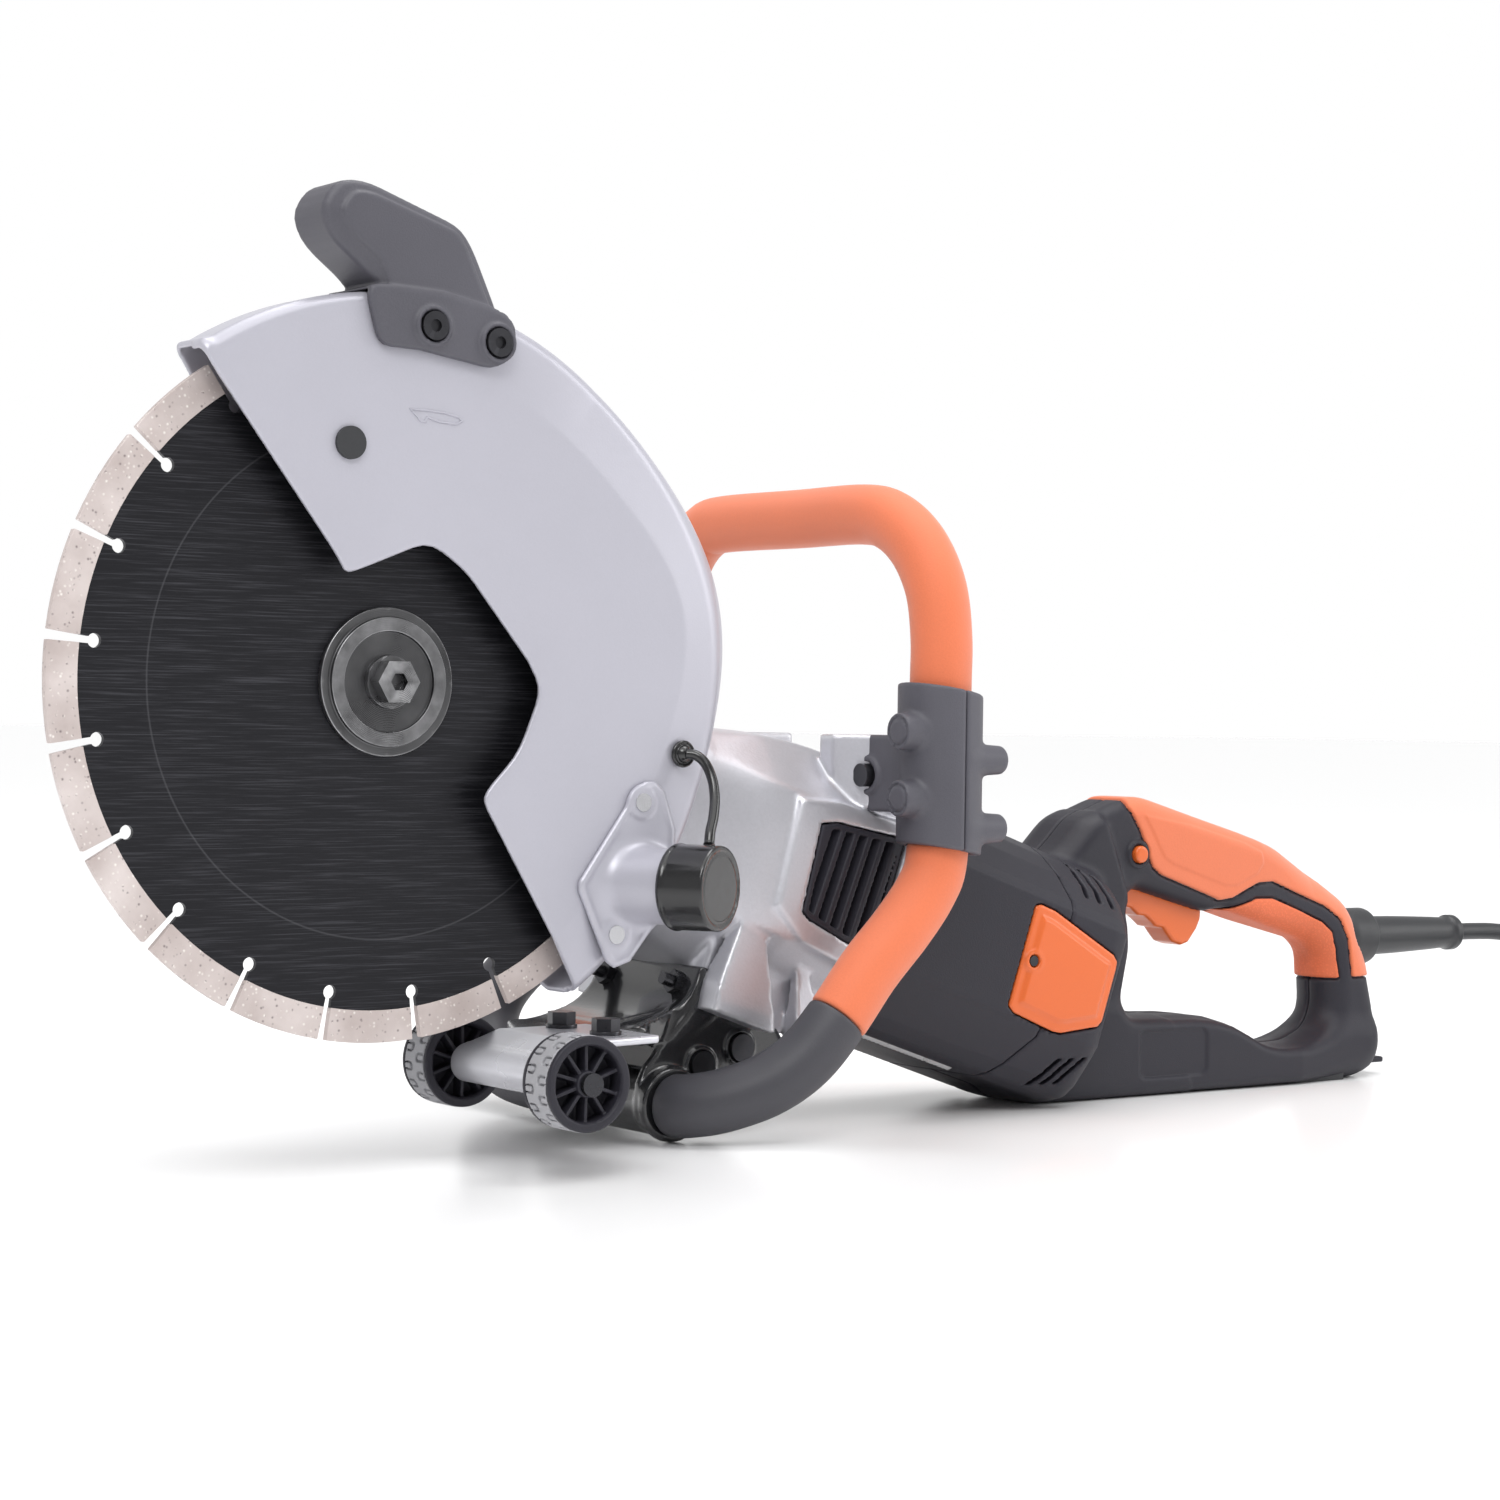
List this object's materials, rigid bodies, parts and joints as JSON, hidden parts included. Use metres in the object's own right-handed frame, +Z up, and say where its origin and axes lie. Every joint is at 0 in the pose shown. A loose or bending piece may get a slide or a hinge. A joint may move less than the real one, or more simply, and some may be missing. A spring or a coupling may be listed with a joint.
{
  "type": "electric disc cutter",
  "caption": "Hand-held corded disc cutter with a segmented blade, a turning guard with dust port, a loop handle, a rear D handle with trigger, guide wheels and a coiled mains cord.",
  "frame": {"origin": "on the floor, under the middle of the machine's box, the cord and plug left out", "axes": "+X to the front, where the blade is; +Y to the blade side; +Z up, the machine standing on its front socket tube and its rear foot"},
  "size_m": [1.1528, 0.328, 0.4105],
  "materials": {
    "cast_alloy": "fine cast grain, satin",
    "turned_alloy": "satin",
    "bearing_steel": "polished",
    "black_plastic": "fine texture",
    "stator_steel": "dull",
    "copper_wire": "varnished",
    "brass": "plain",
    "carbon": "dull",
    "orange_plastic": "satin gloss",
    "orange_rubber": "matte, fine bumps",
    "black_rubber": "matte",
    "black_steel": "gloss black paint",
    "black_screws": "blackened",
    "plain_steel": "machined",
    "blade_steel": "blackened, fine circular grain",
    "sintered_rim": "speckled, rough",
    "guard_paint": "satin light grey paint",
    "cap_plastic": "gloss",
    "tyre_rubber": "matte grey",
    "cord_rubber": "matte"
  },
  "bodies": {
    "machine": {"gearbox_housing": "cast_alloy", "bearing_cover": "turned_alloy", "bearings": "bearing_steel", "air_grilles": "black_plastic", "motor_housing": "black_plastic", "stator_core": "stator_steel", "stator_windings": "copper_wire", "brush_holders": "brass", "carbon_brushes": "carbon", "brush_covers": "orange_plastic", "handle_half_left": "black_plastic", "handle_half_right": "black_plastic", "grip_overmould": "orange_rubber", "switch_unit": "black_plastic", "trigger_pin": "plain_steel", "housing_screws": "black_screws", "foot_pad": "black_rubber", "loop_tube": "plain_steel", "loop_sleeves": "black_rubber", "loop_grips": "orange_rubber", "loop_clamps_front": "black_plastic", "loop_clamps_rear": "black_plastic", "clamp_bolts": "black_screws", "front_bracket": "black_steel", "bracket_fasteners": "black_screws", "wheel_carrier": "black_steel", "wheel_axle": "plain_steel", "cable_boot": "black_rubber", "cord": "cord_rubber", "cord_coil": "cord_rubber", "cord_tie": "black_plastic", "plug_body": "black_plastic", "plug_pins": "brass", "guard_retainer": "plain_steel"},
    "spindle": {"spindle_shaft": "plain_steel", "crown_gear": "plain_steel", "blade_core": "blade_steel", "blade_segments": "sintered_rim", "flange_inner": "plain_steel", "flange_outer": "plain_steel", "arbor_bolt": "plain_steel"},
    "armature": {"armature_shaft": "plain_steel", "armature_core": "stator_steel", "commutator": "copper_wire", "cooling_fan": "black_plastic", "pinion": "plain_steel"},
    "guard": {"guard_shell": "guard_paint", "guard_grip": "black_plastic", "grip_screws": "black_screws", "guard_plug": "black_rubber", "dust_port": "guard_paint", "port_rivets": "plain_steel", "cap_tether": "black_rubber"},
    "port_cap": {"dust_cap": "cap_plastic"},
    "trigger": {"trigger": "orange_plastic"},
    "lock_button": {"lock_button": "orange_plastic"},
    "wheel_near": {"wheel_hub_near": "black_plastic", "tyre_near": "tyre_rubber"},
    "wheel_far": {"wheel_hub_far": "black_plastic", "tyre_far": "tyre_rubber"}
  },
  "joints": [
    {"name": "spindle_spin", "type": "hinge", "parent": "machine", "child": "spindle", "pos_m": [0.261, 0.0854, 0.207], "axis": [0, 1, 0], "continuous": true},
    {"name": "armature_spin", "type": "hinge", "parent": "machine", "child": "armature", "pos_m": [0.261, 0.0034, 0.207], "axis": [0.9455, 0, 0.3256], "continuous": true},
    {"name": "guard_turn", "type": "hinge", "parent": "machine", "child": "guard", "pos_m": [0.261, 0.0854, 0.207], "axis": [0, 1, 0], "range_deg": [0, 40]},
    {"name": "cap_pull", "type": "slide", "parent": "guard", "child": "port_cap", "axis": [-0.454, 0.891, 0], "range_m": [0, 0.022]},
    {"name": "trigger_press", "type": "hinge", "parent": "machine", "child": "trigger", "pos_m": [-0.226, 0.0034, 0.113], "axis": [0, 1, 0], "range_deg": [0, 7], "stiffness_Nm_per_rad": 0.8},
    {"name": "lock_press", "type": "slide", "parent": "machine", "child": "lock_button", "axis": [0, -1, 0], "range_m": [0, 0.004], "stiffness_N_per_m": 400},
    {"name": "wheel_near_roll", "type": "hinge", "parent": "machine", "child": "wheel_near", "pos_m": [0.191, 0.1292, 0.041], "axis": [0, 1, 0], "continuous": true},
    {"name": "wheel_far_roll", "type": "hinge", "parent": "machine", "child": "wheel_far", "pos_m": [0.191, 0.0284, 0.041], "axis": [0, 1, 0], "continuous": true}
  ],
  "couplings": [
    {"joint": "armature_spin", "follows": "spindle_spin", "ratio": 4}
  ]
}
